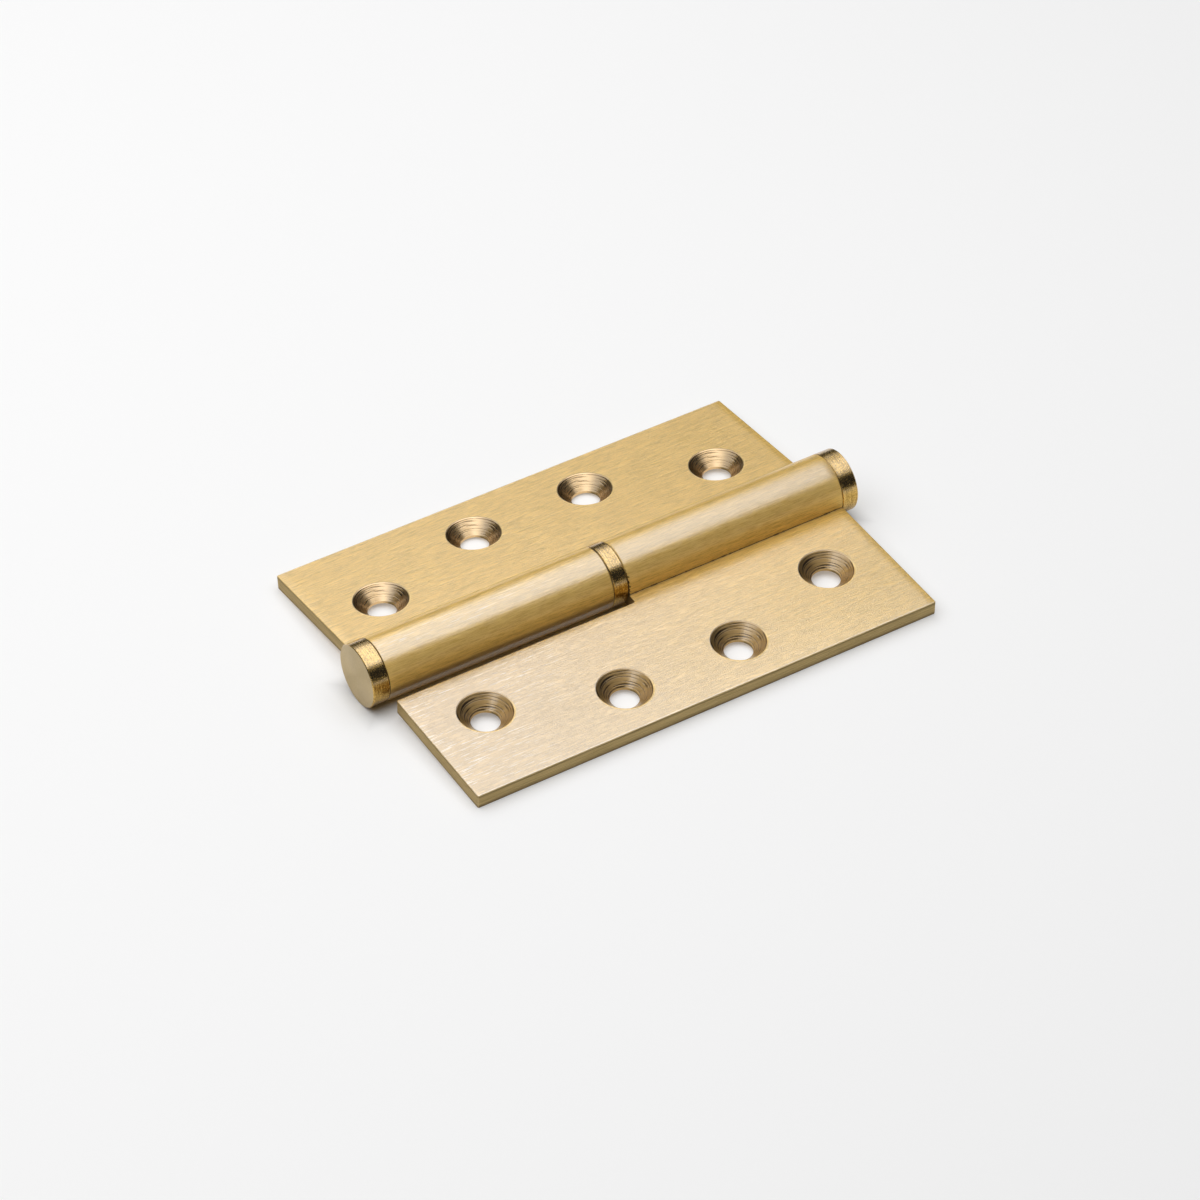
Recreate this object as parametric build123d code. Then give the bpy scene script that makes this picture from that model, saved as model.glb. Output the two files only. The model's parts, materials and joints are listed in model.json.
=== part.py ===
from build123d import *
from math import asin, atan2, degrees, hypot, radians, tan
import os

# Lift-off hinge lying open on a table: pin along X, table at Z = 0.
# The frame leaf lies on the +Y side and carries the pin in its knuckle on the -X half.
# The door leaf lies on the -Y side and its knuckle, on the +X half, lifts off along +X.
# Each leaf is drawn in its own frame first: X along the pin axis, Y away from the pin,
# Z out of the countersunk face.

# Leaf plates
leaf_length = 100.0
leaf_reach = 37.5            # pin axis to a leaf's outer edge
leaf_thickness = 3.0
shut_gap = 2.0               # between the two countersunk faces when they lie parallel
corner_radius = 0.4          # corners seen from above
edge_radius = 0.2            # long and short edges of the plate
knuckle_clearance = 2.1      # from a plate's notch to the other leaf's knuckle

# Knuckles and what turns between them
knuckle_diameter = 12.5
washer_thickness = 3.0
washer_play = 0.1            # on each side of the washer
edge_break = 0.15            # chamfer on turned edges

# Pin
pin_diameter = 7.0
running_clearance = 0.05     # per side, pin in the door leaf's knuckle
washer_clearance = 0.1       # per side, pin in the washer
nose_length = 2.5            # lead-in cone on the free end
nose_angle = 30.0            # slope of that cone to the pin axis
foot_chamfer = 0.5
foot_clearance = 0.5         # pin to the lower cap's spigot
tip_clearance = 4.0          # pin to the upper cap's spigot

# End caps
cap_thickness = 3.5
spigot_length = 8.0
spigot_chamfer = 0.6

# Countersunk screw holes
hole_diameter = 5.6
countersink_diameter = 10.8
countersink_angle = 90.0
hole_count = 4
hole_end_margin = 12.5       # outermost hole to the leaf's end
near_row_inset = 10.9        # outer holes, from the notch edge
far_row_inset = 10.25        # inner holes, from the leaf's outer edge

knuckle_radius = knuckle_diameter / 2
pin_radius = pin_diameter / 2
leaf_end = leaf_length / 2
face_drop = shut_gap / 2                                 # pin axis to the countersunk face
back_drop = face_drop + leaf_thickness                   # pin axis to the back face
notch_edge = knuckle_radius + knuckle_clearance
knuckle_end = washer_thickness / 2 + washer_play         # knuckle's inner end from mid-length
running_radius = pin_radius + running_clearance

# The open hinge rests on its knuckles and on both outer lower edges.
rest_tilt = degrees(
    asin((knuckle_radius - edge_radius) / hypot(leaf_reach - edge_radius, back_drop - edge_radius))
    - atan2(back_drop - edge_radius, leaf_reach - edge_radius)
)


def turned(*outline):
    """Solid turned about the X axis from (x, radius) points."""
    return revolve(make_face(Polyline(*outline, close=True)), Axis.X)


def plate():
    """L-shaped plate: full reach behind its own knuckle, notched for the other one."""
    outline = Polyline(
        (-leaf_end, 0),
        (-knuckle_end, 0),
        (-knuckle_end, notch_edge),
        (leaf_end, notch_edge),
        (leaf_end, leaf_reach),
        (-leaf_end, leaf_reach),
        close=True,
    )
    face = make_face(outline)
    face = fillet(face.vertices(), corner_radius)
    solid = Pos(0, 0, -back_drop) * extrude(face, leaf_thickness)
    levels = solid.faces().sort_by(Axis.Z)
    return fillet(levels[0].edges() + levels[-1].edges(), edge_radius)


def screw_hole():
    """Cutter for one countersunk hole, its rim at Z = 0 on the countersunk face."""
    hole_radius = hole_diameter / 2
    rim_radius = countersink_diameter / 2
    slope = tan(radians(countersink_angle / 2))
    cone_radius = rim_radius - edge_break
    lip_depth = edge_break * tan(radians(45 - countersink_angle / 4))
    cone_depth = lip_depth + (cone_radius - hole_radius) / slope
    profile = Polyline(
        (0, 0, leaf_thickness),
        (rim_radius, 0, leaf_thickness),
        (rim_radius, 0, 0),
        (cone_radius, 0, -lip_depth),
        (hole_radius, 0, -cone_depth),
        (hole_radius, 0, -2 * leaf_thickness),
        (0, 0, -2 * leaf_thickness),
        close=True,
    )
    return revolve(make_face(profile), Axis.Z)


def hole_places():
    """Centres of the staggered holes on a leaf: outer ones near the pin, inner ones far."""
    pitch = (leaf_length - 2 * hole_end_margin) / (hole_count - 1)
    places = []
    for i in range(hole_count):
        outermost = i in (0, hole_count - 1)
        y = notch_edge + near_row_inset if outermost else leaf_reach - far_row_inset
        places.append((-leaf_end + hole_end_margin + i * pitch, y))
    return places


def leaf(bore_radius):
    """One leaf with its knuckle on the -X half, bored right through."""
    knuckle = turned(
        (-leaf_end, 0),
        (-leaf_end, knuckle_radius - edge_break),
        (-leaf_end + edge_break, knuckle_radius),
        (-knuckle_end - edge_break, knuckle_radius),
        (-knuckle_end, knuckle_radius - edge_break),
        (-knuckle_end, 0),
    )
    bore = turned(
        (-leaf_end - 1, 0),
        (-leaf_end - 1, bore_radius),
        (-knuckle_end - edge_break, bore_radius),
        (-knuckle_end, bore_radius + edge_break),
        (-knuckle_end + 1, bore_radius + edge_break),
        (-knuckle_end + 1, 0),
    )
    solid = plate() + knuckle - bore
    for x, y in hole_places():
        solid -= Pos(x, y, -face_drop) * screw_hole()
    return solid


def end_cap(bore_radius):
    """Flat cap at the -X end of a knuckle, its spigot pressed into the bore."""
    seat = -leaf_end
    return turned(
        (seat - cap_thickness, 0),
        (seat - cap_thickness, knuckle_radius - edge_break),
        (seat - cap_thickness + edge_break, knuckle_radius),
        (seat - edge_break, knuckle_radius),
        (seat, knuckle_radius - edge_break),
        (seat, bore_radius),
        (seat + spigot_length - spigot_chamfer, bore_radius),
        (seat + spigot_length, bore_radius - spigot_chamfer),
        (seat + spigot_length, 0),
    )


def hinge_pin():
    """Pin from the lower cap's spigot, through the washer, to near the upper cap's."""
    foot = -leaf_end + spigot_length + foot_clearance
    tip = leaf_end - spigot_length - tip_clearance
    tip_radius = pin_radius - nose_length * tan(radians(nose_angle))
    return turned(
        (foot, 0),
        (foot, pin_radius - foot_chamfer),
        (foot + foot_chamfer, pin_radius),
        (tip - nose_length, pin_radius),
        (tip, tip_radius),
        (tip, 0),
    )


def thrust_washer():
    """Ring between the two knuckles, flush with them."""
    half = washer_thickness / 2
    bore_radius = pin_radius + washer_clearance
    return turned(
        (-half, bore_radius),
        (-half, knuckle_radius - edge_break),
        (-half + edge_break, knuckle_radius),
        (half - edge_break, knuckle_radius),
        (half, knuckle_radius - edge_break),
        (half, bore_radius),
    )


on_table = Pos(0, 0, knuckle_radius)
as_frame_leaf = on_table * Rot(-rest_tilt, 0, 0)
as_door_leaf = on_table * Rot(0, 0, 180) * Rot(-rest_tilt, 0, 0)

os.makedirs("parts", exist_ok=True)
export_step(as_frame_leaf * leaf(pin_radius), "parts/frame_leaf.step")
export_step(as_frame_leaf * end_cap(pin_radius), "parts/lower_cap.step")
export_step(on_table * hinge_pin(), "parts/hinge_pin.step")
export_step(on_table * thrust_washer(), "parts/thrust_washer.step")
export_step(as_door_leaf * leaf(running_radius), "parts/door_leaf.step")
export_step(as_door_leaf * end_cap(running_radius), "parts/upper_cap.step")
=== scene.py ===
import json
import math

import bpy
from mathutils import Matrix, Vector

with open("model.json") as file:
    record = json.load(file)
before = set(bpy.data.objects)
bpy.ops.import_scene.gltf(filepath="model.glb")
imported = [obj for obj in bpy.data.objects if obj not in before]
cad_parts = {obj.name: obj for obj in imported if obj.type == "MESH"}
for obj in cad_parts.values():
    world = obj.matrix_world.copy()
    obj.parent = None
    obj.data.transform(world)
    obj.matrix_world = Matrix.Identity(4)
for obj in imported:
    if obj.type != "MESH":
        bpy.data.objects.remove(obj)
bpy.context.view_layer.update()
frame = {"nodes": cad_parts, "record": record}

MM = 0.001

# Camera: viewing angles in degrees, distances in millimetres, focal length in pixels of the 1200-pixel frame.
AZIMUTH, ELEVATION, ROLL = -31.027, 39.625, 1.365
DISTANCE, FOCAL_PX, FRAME_PX = 892.385, 4730.4, 1200
LOOK_AT = (-1.054, 0.0, 0.665)
SENSOR = 36.0

# The hinge's own sizes that the surface detail follows, in millimetres, and the slope of the leaves in radians.
AXIS_HEIGHT = 6.25
LEAF_TILT = math.radians(3.469)
LEAF_REACH, LEAF_END, LEAF_DROP = 37.5, 50.0, 1.0
KNUCKLE_END, KNUCKLE_FOOT = 1.6, 6.17
BARREL_REACH, NOTCH_EDGE = 6.5, 8.35
HOLES = ((37.5, 19.25), (12.5, 27.25))
RIM_RADIUS, HOLE_ZONE = 5.4, 7.0

# Wear: where the rounding of the leaf's edges starts, and the turned rings in the countersinks.
ROUND_REACH, ROUND_X = 27.0, 48.0
RING_RATE, RING_DRIFT = 14.5, 12.0

# How far a surface faces along the pin for it to count as an end face.
END_ON = (0.75, 0.85)

# Colours, in linear RGBA.
BRASS = (0.63, 0.405, 0.085, 1), (1.0, 0.665, 0.190, 1)
FLANK_LIGHT_PAINT = (0.82, 0.50, 0.115, 1), (1.0, 0.70, 0.225, 1)
SAWN_BRASS = (0.50, 0.365, 0.15, 1), (0.74, 0.56, 0.26, 1)
TURNED_BRASS = (0.26, 0.155, 0.030, 1), (0.80, 0.52, 0.150, 1)
CAP_END_BRASS = (0.53, 0.42, 0.24, 1), (0.60, 0.48, 0.29, 1)
STEEL = (0.50, 0.50, 0.51, 1), (0.68, 0.68, 0.68, 1)
BORE_LIT_REAR_SHADED_FRONT = (0.82, 0.57, 0.29, 1), (0.52, 0.345, 0.140, 1)
RING_LIT_REAR_SHADED_FRONT = (0.36, 0.23, 0.09, 1), (0.09, 0.055, 0.02, 1)
RIM_PAINTED_SHADE_AND_HIGHLIGHT = (0.25, 0.15, 0.05, 1), (0.98, 0.72, 0.30, 1)
PAINTED_HIGHLIGHT_TONE = (0.20, 0.13, 0.12, 1)
CROWN_SHADE_PAINT = (0.45, 0.33, 0.22, 1)
GLINT_PAINT_ON_DASHES = (1.0, 0.92, 0.76, 1)
WALL_SHADE = (0.16, 0.10, 0.03, 1)
ARRIS_PAINTED_HIGHLIGHT = (1.0, 0.90, 0.70, 1)
SIDE_SHADE_PAINT = (0.12, 0.075, 0.03, 1)
RECESS_SHADE = (0.20, 0.11, 0.03, 1)
DARK_JOINT_AND_CREASE_SHADE = (0.10, 0.06, 0.02, 1)
TABLE_WHITE = (0.68, 0.68, 0.68, 1)
WORLD_GREY = (0.03, 0.03, 0.03, 1)

# Directions of the brush marks on faces and on end faces.
ALONG_PIN, ALONG_LEAF = (1.0, 0.0, 0.0), (0.0, 1.0, 0.0)

# The table's half width and the light panels over it, in metres: low corner, high corner, height; then the radiance.
TABLE_HALF = 12.0
SOFTBOXES = {"softbox": ((-0.7, -0.50), (0.66, 1.50), 0.63, 0.6),
             "softbox_core": ((-0.8, -0.37), (0.39, 0.74), 0.62, 1.3)}


class Value:
    """A number inside a material, so that node maths reads as a formula."""

    def __init__(self, nodes, socket):
        self.nodes, self.socket = nodes, socket

    def _math(self, operation, *others):
        return self.nodes.math(operation, self, *others)

    def __add__(self, other):
        return self._math("ADD", other)

    def __sub__(self, other):
        return self._math("SUBTRACT", other)

    def __mul__(self, other):
        return self._math("MULTIPLY", other)

    def __truediv__(self, other):
        return self._math("DIVIDE", other)

    def __abs__(self):
        return self._math("ABSOLUTE")

    def __pow__(self, other):
        return self._math("POWER", other)

    def least(self, other):
        return self._math("MINIMUM", other)

    def most(self, other):
        return self._math("MAXIMUM", other)

    def sign(self):
        return self._math("SIGN")

    def inverse(self):
        """One minus this number."""
        return self * -1.0 + 1.0

    def less(self, mask, share):
        """This number, cut by a share where the mask is one."""
        return self * (mask * -share + 1.0)

    def ramp(self, start, end, low=0.0, high=1.0):
        """Smooth change from low to high as this number goes from start to end."""
        node = self.nodes.add("MapRange", interpolation_type="SMOOTHSTEP")
        for socket, value in zip(node.inputs, (self, start, end, low, high)):
            self.nodes.feed(socket, value)
        return Value(self.nodes, node.outputs[0])

    def fade(self, start, end):
        """Smooth change from one to nothing as this number goes from start to end."""
        return self.ramp(start, end, 1.0, 0.0)


class Nodes:
    """One material's node tree, with short ways to add to it."""

    def __init__(self, name):
        self.material = bpy.data.materials.new(name)
        self.material.use_nodes = True
        self.tree = self.material.node_tree
        self.tree.nodes.clear()
        self.output = self.add("OutputMaterial")

    def add(self, kind, **settings):
        node = self.tree.nodes.new("ShaderNode" + kind)
        for key, value in settings.items():
            setattr(node, key, value)
        return node

    def feed(self, socket, value):
        if isinstance(value, Value):
            value = value.socket
        if isinstance(value, bpy.types.NodeSocket):
            self.tree.links.new(value, socket)
        else:
            socket.default_value = value

    def math(self, operation, *values):
        node = self.add("Math", operation=operation)
        for socket, value in zip(node.inputs, values):
            self.feed(socket, value)
        return Value(self, node.outputs[0])

    def combine(self, x, y, z):
        node = self.add("CombineXYZ")
        for socket, value in zip(node.inputs, (x, y, z)):
            self.feed(socket, value)
        return node.outputs[0]

    def split(self, output):
        """The three numbers of one of the texture coordinates."""
        node = self.add("SeparateXYZ")
        self.feed(node.inputs[0], self.add("TexCoord").outputs[output])
        return [Value(self, out) for out in node.outputs]

    def place(self):
        """Place on the piece at rest, in millimetres, with Z counted from the pin axis."""
        x, y, z = (part * 1000.0 for part in self.split("Object"))
        return x, y, z - AXIS_HEIGHT

    def facing(self):
        """How far the surface faces up and along the pin, on the piece at rest."""
        along, _, up = self.split("Normal")
        return up, abs(along)

    def noise(self, x, y, z, detail=2.0, roughness=0.5):
        node = self.add("TexNoise")
        self.feed(node.inputs["Vector"], self.combine(x, y, z))
        node.inputs["Scale"].default_value = 1.0
        node.inputs["Detail"].default_value = detail
        node.inputs["Roughness"].default_value = roughness
        return Value(self, node.outputs["Fac"])

    def _blend(self, data_type, first, factor, low, high):
        """Mix node, whose two inputs of this data type start at the given place."""
        node = self.add("Mix", data_type=data_type)
        for index, value in ((0, factor), (first, low), (first + 1, high)):
            self.feed(node.inputs[index], value)
        return node

    def mix(self, factor, low, high):
        return Value(self, self._blend("FLOAT", 2, factor, low, high).outputs[0])

    def vector(self, factor, low, high):
        return self._blend("VECTOR", 4, factor, low, high).outputs[1]

    def colour(self, factor, low, high):
        return self._blend("RGBA", 6, factor, low, high).outputs[2]

    def to_world(self, vector):
        node = self.add("VectorTransform", vector_type="VECTOR", convert_from="OBJECT", convert_to="WORLD")
        self.feed(node.inputs[0], vector)
        return node.outputs[0]

    def bump(self, height):
        """Normal from a height in millimetres."""
        node = self.add("Bump")
        node.inputs["Strength"].default_value = 1.0
        node.inputs["Distance"].default_value = MM
        self.feed(node.inputs["Height"], height)
        return node.outputs[0]

    def metal(self, **sockets):
        """Metal shader; each setting is named like its socket."""
        shader = self.add("BsdfPrincipled")
        for name, value in sockets.items():
            self.feed(shader.inputs[name.replace("_", " ").title().replace("Ior", "IOR")], value)
        self.feed(self.output.inputs["Surface"], shader.outputs[0])
        return self.material


def satin_brass():
    """Brass brushed along the pin and lacquered from the face side, with turned countersinks and plain sides."""
    n = Nodes("satin_brass")
    x, y, z = n.place()
    up, end_on = n.facing()

    # Where on the hinge: the leaf's own directions, its sides, and the half of each knuckle that faces a slot.
    side = y.sign()
    front = side.least(0.0) * -1.0
    right = x.sign().most(0.0)
    slot_side = (x * y).sign().most(0.0)
    reach = abs(y) * math.cos(LEAF_TILT) - z * math.sin(LEAF_TILT)
    rise = abs(y) * math.sin(LEAF_TILT) + z * math.cos(LEAF_TILT)
    depth = rise * -1.0 - LEAF_DROP
    face = up.ramp(-0.8, -0.6)
    under = up.fade(0.28, 0.60)
    barrel = reach.fade(BARREL_REACH - 0.1, BARREL_REACH + 0.1)
    end_face = end_on.ramp(*END_ON)
    sides = reach.ramp(LEAF_REACH - 0.15, LEAF_REACH - 0.05).most(end_face)

    # Nearest screw hole, seen square to the leaf. Its rim is painted: a painted highlight on the near half and
    # painted shade on the far half.
    across, along, distance = [], [], []
    for hole_x, hole_reach in HOLES:
        across.append(x - x.sign() * hole_x)
        along.append(reach - hole_reach)
        distance.append((across[-1] ** 2.0 + along[-1] ** 2.0) ** 0.5)
    second = distance[1].fade(HOLE_ZONE, HOLE_ZONE + 0.01)
    from_x, from_reach, from_hole = (n.mix(second, *pair) for pair in (across, along, distance))
    in_hole = from_hole.fade(RIM_RADIUS - 0.05, RIM_RADIUS + 0.05) * face
    near_rim = (from_reach * side).fade(-2.5, 2.5)
    rim = abs(from_hole - RIM_RADIUS - 0.03)
    rim = rim.fade(near_rim * 0.09 + 0.03, near_rim * 0.14 + 0.11) * face
    # Painted shade on the countersinks' left and right walls, weaker in the door leaf.
    painted_wall_shade = (abs(from_x) / from_hole.most(1.0)).ramp(0.45, 0.95).less(front, 0.7)

    # Joint lines at the ring and the caps; the one right of the ring is faint, with a burr low in front.
    burr = n.noise(x * 1.5, y * 1.8, z * 1.8).ramp(0.42, 0.70, 0.0, 0.40)
    low = (y * -1.0 + z * -0.3).ramp(3.0, 4.5)
    joint = (abs(x) - burr * right * low).fade(KNUCKLE_END + 0.02, KNUCKLE_END + 0.16)
    joint = joint.less(right * low.inverse(), 0.8)
    joint = joint.most(abs(x).ramp(LEAF_END - 0.16, LEAF_END - 0.05)) * barrel * end_face.inverse()

    # Painted shade: a fine dark line at the foot of the knuckle, and darkening in the slot's recess and in the
    # notch's corner.
    crease = n.noise(x * 0.9, y * 0.1, z * 0.1).ramp(0.56, 0.66, 0.0, 0.12)
    foot = abs(reach - KNUCKLE_FOOT).most(abs(rise + LEAF_DROP))
    crease = foot.fade(crease + 0.05, crease + 0.14) * slot_side.inverse()
    recess = barrel * up.fade(-0.16, 0.02) * up.ramp(-0.90, -0.70) * slot_side
    corner = end_face * abs(x).fade(2.6, 3.2) * reach.fade(NOTCH_EDGE + 0.25, NOTCH_EDGE + 0.65)
    recess = recess.most(corner)

    # Side faces: painted shade as a dark line under the upper edge, a dark foot and slightly darker end faces; a
    # painted highlight on the edge itself.
    painted_side_shade = depth.ramp(0.15, 0.25) * depth.fade(0.35, 0.60) * 0.55
    painted_side_shade = painted_side_shade.most(depth.ramp(1.2, 3.0) ** 3.0 * 0.75) * sides
    arris = reach.ramp(LEAF_REACH - 0.42, LEAF_REACH - 0.28) * sides.inverse()

    # Brush marks: short fine ones, longer broad ones, and sparse dashes in the lacquer at the door leaf's left.
    fine = n.noise(x * 0.30, y * 5.2, z * 5.2, 3.0, 0.85).ramp(0.33, 0.60)
    broad = n.noise(x * 0.06, y * 2.4, z * 2.4, 3.0, 0.6).ramp(0.25, 0.75)
    dash = n.noise(x * 0.28, y * 5.2, z * 5.2, 1.0).ramp(0.60, 0.66)
    # Painted glints: towards the door leaf's left, where its highlight lies, the dashes get a whitish tint in the
    # colour as well as more lacquer.
    glint_patch = n.noise(x * 0.05, y * 0.16, z * 0.16).ramp(0.40, 0.56) * front * face
    glint_patch = glint_patch * (x + reach * 0.8).fade(-28.0, 10.0) * n.mix(barrel, 1.0, up.ramp(0.75, 0.9) * 0.5)
    cut = n.noise(x * 0.10, y * 0.10, z * 9.0)

    # Turned rings in the countersinks, uneven in pitch and missing in places.
    drift = n.noise(from_hole * 2.2, from_x * 0.10, from_reach * 0.10)
    ring = n.math("SINE", from_hole * RING_RATE + drift * RING_DRIFT).ramp(-0.9, 0.1)
    shown = n.noise(from_hole * 2.3, from_x * 0.20, from_reach * 0.20).ramp(0.36, 0.56)
    ring = n.mix(shown, 1.0, ring)

    # Colour, with painted light: a painted tone on the door leaf's left end turns its highlight whitish, the
    # knuckles' crowns get painted shade and their flanks painted light.
    highlight_tone_paint = x.fade(-45.0, 40.0) * front * barrel.inverse()
    crown_shade_paint = barrel * up.ramp(0.62, 0.90) * y.fade(-1.5, 0.5)
    flank_light_paint = barrel * up.ramp(0.10, 0.40) * up.fade(0.70, 0.90)
    # The countersinks are painted as lit copies in the frame leaf and as shaded copies in the door leaf.
    bored = n.colour(ring, n.colour(front, *RING_LIT_REAR_SHADED_FRONT), n.colour(front, *BORE_LIT_REAR_SHADED_FRONT))
    bored = n.colour(painted_wall_shade * 0.75, bored, WALL_SHADE)
    colour = n.colour(fine * 0.8 + broad * 0.2, *BRASS)
    for factor, tint in (
            (highlight_tone_paint * 0.39, PAINTED_HIGHLIGHT_TONE),
            (crown_shade_paint * 0.35, CROWN_SHADE_PAINT),
            (flank_light_paint * 0.75, n.colour(fine, *FLANK_LIGHT_PAINT)),
            (dash * glint_patch * 0.6, GLINT_PAINT_ON_DASHES),
            (in_hole, bored),
            (rim * 0.8, n.colour(near_rim, *RIM_PAINTED_SHADE_AND_HIGHLIGHT)),
            (arris * 0.4, ARRIS_PAINTED_HIGHLIGHT),
            (sides, n.colour(cut.ramp(0.3, 0.7), *SAWN_BRASS)),
            (painted_side_shade.most(end_face * sides * 0.18), SIDE_SHADE_PAINT),
            (recess * 0.6, RECESS_SHADE),
            (joint.most(crease * 0.8), DARK_JOINT_AND_CREASE_SHADE)):
        colour = n.colour(factor, colour, tint)

    # Grain: along the pin on faces, along the leaf on end faces and around the countersinks.
    rough = n.mix(in_hole, fine * 0.10 + 0.38, ring * 0.12 + front * 0.12 + 0.19)
    rough = n.mix(sides, rough, 0.6)
    around = n.combine(from_reach * -1.0, from_x * side * math.cos(LEAF_TILT), from_x * -math.sin(LEAF_TILT))
    grain = n.vector(in_hole, n.vector(end_face, ALONG_PIN, ALONG_LEAF), around)

    # Relief of the metal and of the lacquer film on it; both round off towards the leaf's edges.
    rounding = (reach - ROUND_REACH).most(0.0) ** 2.0 * side.least(0.0) * 0.003
    rounding = rounding - (abs(x) - ROUND_X).most(0.0) ** 2.0 * 0.025
    height = n.mix(in_hole, fine * 0.030 + broad * 0.005 + rounding, ring * 0.014)
    film = n.mix(in_hole, fine * 0.005 + dash * 0.004 + broad * 0.006 + rounding, ring * 0.014)

    # Lacquer: none on sides, joints and what faces down, apart from a glossy band in the slot.
    lacquer = (dash * glint_patch * 0.2 + highlight_tone_paint * 0.1 + 0.7).less(in_hole, 0.5)
    lacquer = lacquer - front.inverse() * x.ramp(-45.0, 45.0) * 0.10
    lacquer = lacquer.less(rim * near_rim, 0.6).less(x.ramp(48.4, 49.9), 0.7)
    lacquer = lacquer * under.inverse() * sides.most(joint).inverse()
    band = barrel * slot_side * up.ramp(-0.32, -0.20, 0.6, 0.0) * up.ramp(-0.62, -0.45)
    return n.metal(
        base_color=colour, metallic=n.mix(in_hole, 0.7, 1.0), roughness=rough,
        anisotropic=0.8, anisotropic_rotation=0.25, tangent=n.to_world(grain), normal=n.bump(height),
        coat_weight=lacquer.most(band), coat_roughness=0.12, coat_ior=3.2, coat_normal=n.bump(film))


def turned_brass():
    """Turned brass: lines around the pin axis, with small pits."""
    n = Nodes("turned_brass")
    x, y, z = n.place()
    up, end_on = n.facing()
    end_face = end_on.ramp(*END_ON)
    line = n.noise(x * 7.0, y * 0.25, z * 0.25, 3.0, 0.6)
    pits = n.noise(x * 3.5, y * 3.5, z * 3.5, 3.0, 0.8)
    tone = line * 0.4 + pits * 0.6
    end_colour = n.colour(tone.ramp(0.3, 0.7), *CAP_END_BRASS)
    colour = n.colour(end_face, n.colour(tone.ramp(0.35, 0.65), *TURNED_BRASS), end_colour)
    rough = n.mix(end_face, tone * 0.25 + 0.13, 0.55)
    grain = n.vector(end_face, ALONG_PIN, n.combine(0.0, y, z))
    height = (line * 0.008 + pits * 0.03) * end_face.inverse()
    lacquer = up.ramp(0.10, 0.55, 0.0, 0.50)
    return n.metal(
        base_color=colour, metallic=1.0, roughness=rough, anisotropic=0.6, tangent=n.to_world(grain),
        normal=n.bump(height), coat_weight=lacquer, coat_roughness=0.15, coat_ior=2.9)


def ground_steel():
    """Ground steel: fine lines around the pin."""
    n = Nodes("ground_steel")
    x, y, z = n.place()
    line = n.noise(x * 8.0, y * 0.2, z * 0.2, 3.0, 0.6)
    return n.metal(
        base_color=n.colour(line, *STEEL), metallic=1.0, roughness=line * 0.15 + 0.2,
        normal=n.bump(line * 0.006))


def make_camera():
    az, el, roll = (math.radians(v) for v in (AZIMUTH, ELEVATION, ROLL))
    back = Vector((math.sin(az) * math.cos(el), -math.cos(az) * math.cos(el), math.sin(el)))
    right = (-back).cross(Vector((0, 0, 1))).normalized()
    down = (-back).cross(right)
    right, down = (math.cos(roll) * right + math.sin(roll) * down,
                   -math.sin(roll) * right + math.cos(roll) * down)
    data = bpy.data.cameras.new("camera")
    data.sensor_width = SENSOR
    data.lens = SENSOR * FOCAL_PX / FRAME_PX
    data.clip_start, data.clip_end = 0.01, 20.0
    camera = bpy.data.objects.new("camera", data)
    place = (Vector(LOOK_AT) + back * DISTANCE) * MM
    camera.matrix_world = Matrix.Translation(place) @ Matrix((right, -down, back)).transposed().to_4x4()
    bpy.context.collection.objects.link(camera)
    bpy.context.scene.camera = camera


def make_floor():
    """White table that stays white far behind the hinge; its glow is left out under the hinge and just around it,
    which paints a shadow there over the real one.
    """
    n = Nodes("white_table")
    x, y, _ = n.place()
    # Painted shadow: no glow under the hinge and just around it, so that patch of table is darker.
    outside_painted_shadow = abs(y).ramp(4.0, 9.0).most(abs(x).ramp(52.0, 57.0))
    far = ((x ** 2.0 + y ** 2.0) ** 0.5).ramp(300.0, 2500.0, 0.24, 0.75)
    paper = n.add("BsdfDiffuse")
    paper.inputs["Color"].default_value = TABLE_WHITE
    glow = n.add("Emission")
    n.feed(glow.inputs["Strength"], outside_painted_shadow * far)
    both = n.add("AddShader")
    n.feed(both.inputs[0], paper.outputs[0])
    n.feed(both.inputs[1], glow.outputs[0])
    path = n.add("LightPath")
    seen = Value(n, path.outputs["Is Camera Ray"]).most(Value(n, path.outputs["Is Glossy Ray"]))
    seen = seen.most(Value(n, path.outputs["Is Transmission Ray"]))
    pick = n.add("MixShader")
    n.feed(pick.inputs[0], seen)
    n.feed(pick.inputs[1], paper.outputs[0])
    n.feed(pick.inputs[2], both.outputs[0])
    n.feed(n.output.inputs["Surface"], pick.outputs[0])

    corners = [(a * TABLE_HALF, b * TABLE_HALF, 0) for a, b in ((-1, -1), (1, -1), (1, 1), (-1, 1))]
    mesh = bpy.data.meshes.new("floor")
    mesh.from_pydata(corners, [], [(0, 1, 2, 3)])
    mesh.materials.append(n.material)
    floor = bpy.data.objects.new("floor", mesh)
    bpy.context.collection.objects.link(floor)


def softbox(name, low, high, height, radiance):
    """Level light panel over the table."""
    data = bpy.data.lights.new(name, "AREA")
    data.shape = "RECTANGLE"
    data.size, data.size_y = high[0] - low[0], high[1] - low[1]
    data.energy = radiance * math.pi * data.size * data.size_y
    light = bpy.data.objects.new(name, data)
    light.location = ((low[0] + high[0]) / 2, (low[1] + high[1]) / 2, height)
    bpy.context.collection.objects.link(light)


def make_light():
    world = bpy.data.worlds.new("studio")
    world.use_nodes = True
    world.node_tree.nodes["Background"].inputs["Color"].default_value = WORLD_GREY
    bpy.context.scene.world = world
    for name, panel in SOFTBOXES.items():
        softbox(name, *panel)


make_camera()
make_floor()
make_light()
LOOKS = {"satin_brass": satin_brass(), "turned_brass": turned_brass(), "pin_steel": ground_steel()}
for part in frame["record"]["subparts"]:
    mesh = frame["nodes"][part["node"]].data
    mesh.materials.clear()
    mesh.materials.append(LOOKS[part["material_slot"]])
bpy.context.scene.view_settings.view_transform = "Standard"
